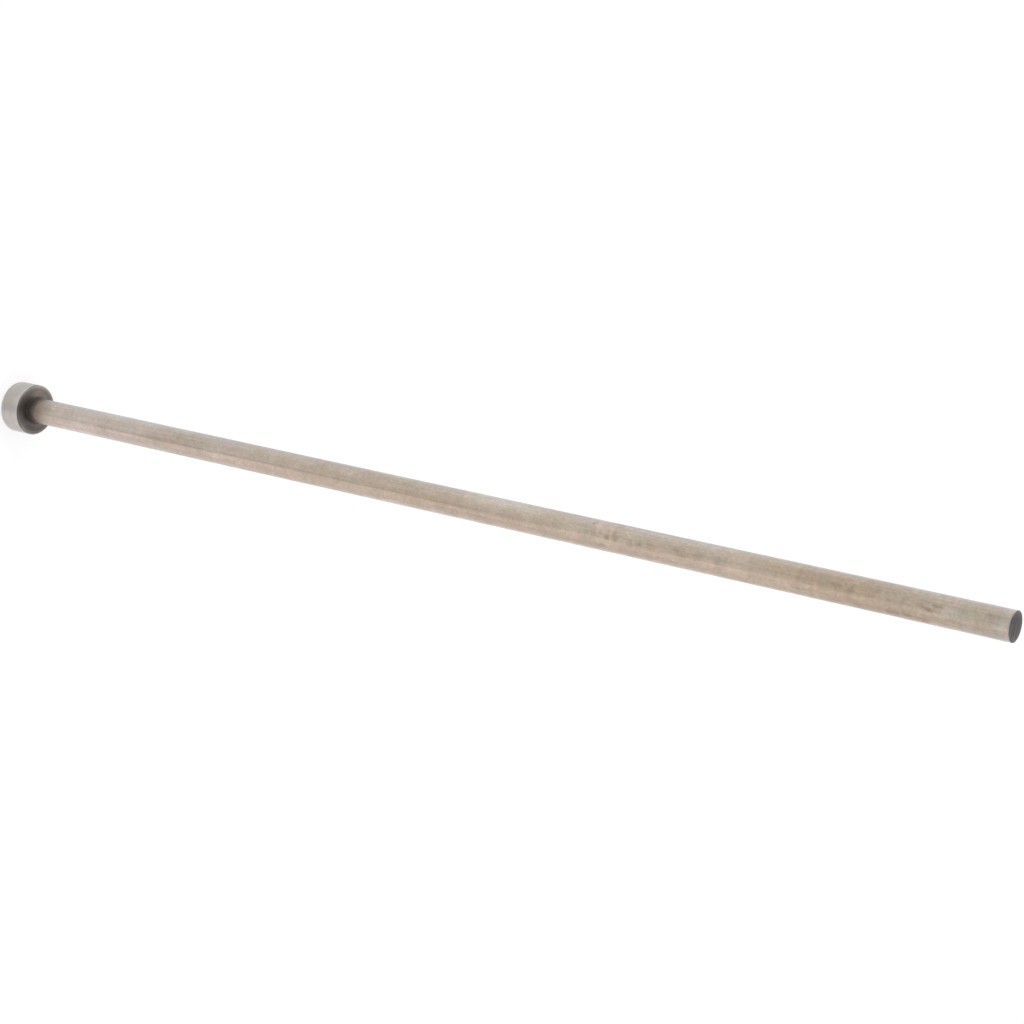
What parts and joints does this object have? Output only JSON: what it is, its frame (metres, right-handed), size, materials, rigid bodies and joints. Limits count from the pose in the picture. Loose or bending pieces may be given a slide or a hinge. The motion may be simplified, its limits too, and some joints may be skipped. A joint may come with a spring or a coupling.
{
  "type": "ejector pin",
  "caption": "Straight round ejector pin for a mould: a plain cylindrical shank that slides in a bore, with a flat turned head that is trapped in the ejector plate.",
  "frame": {"origin": "centre of the head's back face, where the pin stands on its head", "axes": "+Z along the pin's axis, from the head's back face to the tip; the pin is round, so X and Y are free"},
  "size_m": [0.0096, 0.0094, 0.2032],
  "materials": {
    "ground_steel": "ground shank with a faint warm tint and handling stains, turned grey head, darker end faces"
  },
  "bodies": {
    "root": {"ejector_pin": "ground_steel"}
  },
  "joints": []
}
